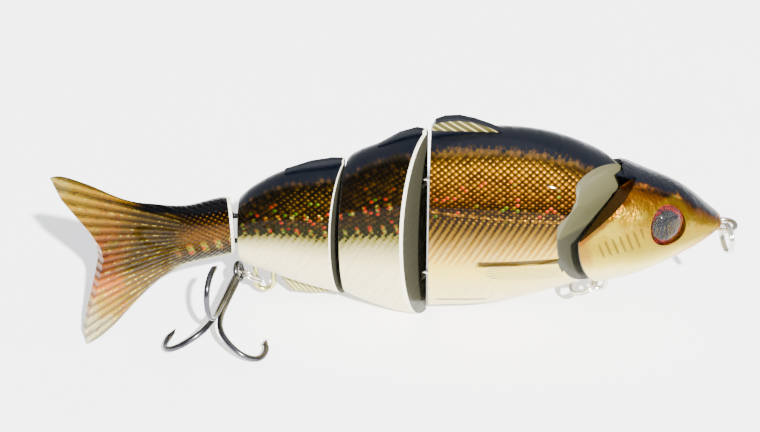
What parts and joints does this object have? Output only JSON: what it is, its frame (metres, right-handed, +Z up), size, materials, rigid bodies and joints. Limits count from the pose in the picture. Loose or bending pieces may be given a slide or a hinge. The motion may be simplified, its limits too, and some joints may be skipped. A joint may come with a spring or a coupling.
{
  "type": "swimbait",
  "caption": "Jointed hard swimbait whose shell sections turn on upright pins, with a line tie, belly hangers, split rings and a treble hook.",
  "frame": {"origin": "under the middle of the whole lure's box, on the ground", "axes": "+X towards the nose, +Z up, -Y the side the tail and the treble lie to"},
  "size_m": [0.126, 0.0324, 0.0419],
  "materials": {
    "head_finish": "clear-coated scale foil, dark back, pale belly",
    "front_finish": "clear-coated scale foil, dark back, pale belly",
    "mid_finish": "clear-coated scale foil, dark back, pale belly",
    "rear_finish": "clear-coated scale foil, dark back, pale belly",
    "tail_finish": "clear-coated amber foil with fin rays",
    "eye_paint": "dark pupil in a thin red iris",
    "eye_lens": "clear domed lens",
    "wire_steel": "nickel-silver wire",
    "ring_steel": "polished wire",
    "hook_steel": "black nickel",
    "ballast_steel": "bare steel"
  },
  "bodies": {
    "front": {"front_shell_left": "front_finish", "front_shell_right": "front_finish", "front_eye_upper": "wire_steel", "front_eye_lower": "wire_steel", "head_hinge_pin": "wire_steel", "belly_hanger": "wire_steel", "front_ballast_1": "ballast_steel", "front_ballast_2": "ballast_steel", "front_ballast_3": "ballast_steel"},
    "head": {"head_shell_left": "head_finish", "head_shell_right": "head_finish", "head_eye_upper": "wire_steel", "head_eye_lower": "wire_steel", "line_tie": "wire_steel", "head_ballast": "ballast_steel", "eye_disc_left": "eye_paint", "eye_disc_right": "eye_paint", "eye_dome_left": "eye_lens", "eye_dome_right": "eye_lens"},
    "middle": {"mid_shell_left": "mid_finish", "mid_shell_right": "mid_finish", "mid_hinge_pin": "wire_steel", "mid_eye_upper": "wire_steel", "mid_eye_lower": "wire_steel", "mid_ballast": "ballast_steel"},
    "rear": {"rear_shell_left": "rear_finish", "rear_shell_right": "rear_finish", "rear_hinge_pin": "wire_steel", "rear_eye_upper": "wire_steel", "rear_eye_lower": "wire_steel", "rear_hanger": "wire_steel", "rear_ballast": "ballast_steel"},
    "tail": {"tail_shell_left": "tail_finish", "tail_shell_right": "tail_finish", "tail_hinge_pin": "wire_steel"},
    "line_ring": {"nose_ring": "ring_steel"},
    "belly_split_ring": {"belly_ring": "ring_steel"},
    "rear_split_ring": {"rear_ring": "ring_steel"},
    "treble": {"treble_hook": "hook_steel"}
  },
  "joints": [
    {"name": "head_yaw", "type": "hinge", "parent": "front", "child": "head", "pos_m": [0.03811, 0.00275, 0.02096], "axis": [0, 0, 1], "range_deg": [-12, 2]},
    {"name": "middle_yaw", "type": "hinge", "parent": "front", "child": "middle", "pos_m": [0.00226, 0.00462, 0.01796], "axis": [0, 0, 1], "range_deg": [-9, 25]},
    {"name": "rear_yaw", "type": "hinge", "parent": "middle", "child": "rear", "pos_m": [-0.01315, 0.00762, 0.01596], "axis": [0, 0, 1], "range_deg": [-25, 9]},
    {"name": "tail_yaw", "type": "hinge", "parent": "rear", "child": "tail", "pos_m": [-0.03352, 0.00869, 0.01576], "axis": [0, 0, 1], "range_deg": [-74, 2]},
    {"name": "line_ring_swing", "type": "hinge", "parent": "head", "child": "line_ring", "pos_m": [0.06057, 0.00148, 0.01926], "axis": [0.9994, 0.0349, 0], "range_deg": [-60, 18]},
    {"name": "belly_ring_swing", "type": "hinge", "parent": "front", "child": "belly_split_ring", "pos_m": [0.03593, 0.00286, 0.00693], "axis": [0.1582, -0.0083, -0.9874], "range_deg": [-40, 40]},
    {"name": "rear_ring_swing", "type": "hinge", "parent": "rear", "child": "rear_split_ring", "pos_m": [-0.02828, 0.00841, 0.00391], "axis": [0, 0, -1], "range_deg": [-45, 8]},
    {"name": "treble_swing", "type": "hinge", "parent": "rear_split_ring", "child": "treble", "pos_m": [-0.03133, 0.00728, 0.00657], "axis": [-0.6852, 0.7253, -0.0664], "range_deg": [-60, 12]}
  ]
}
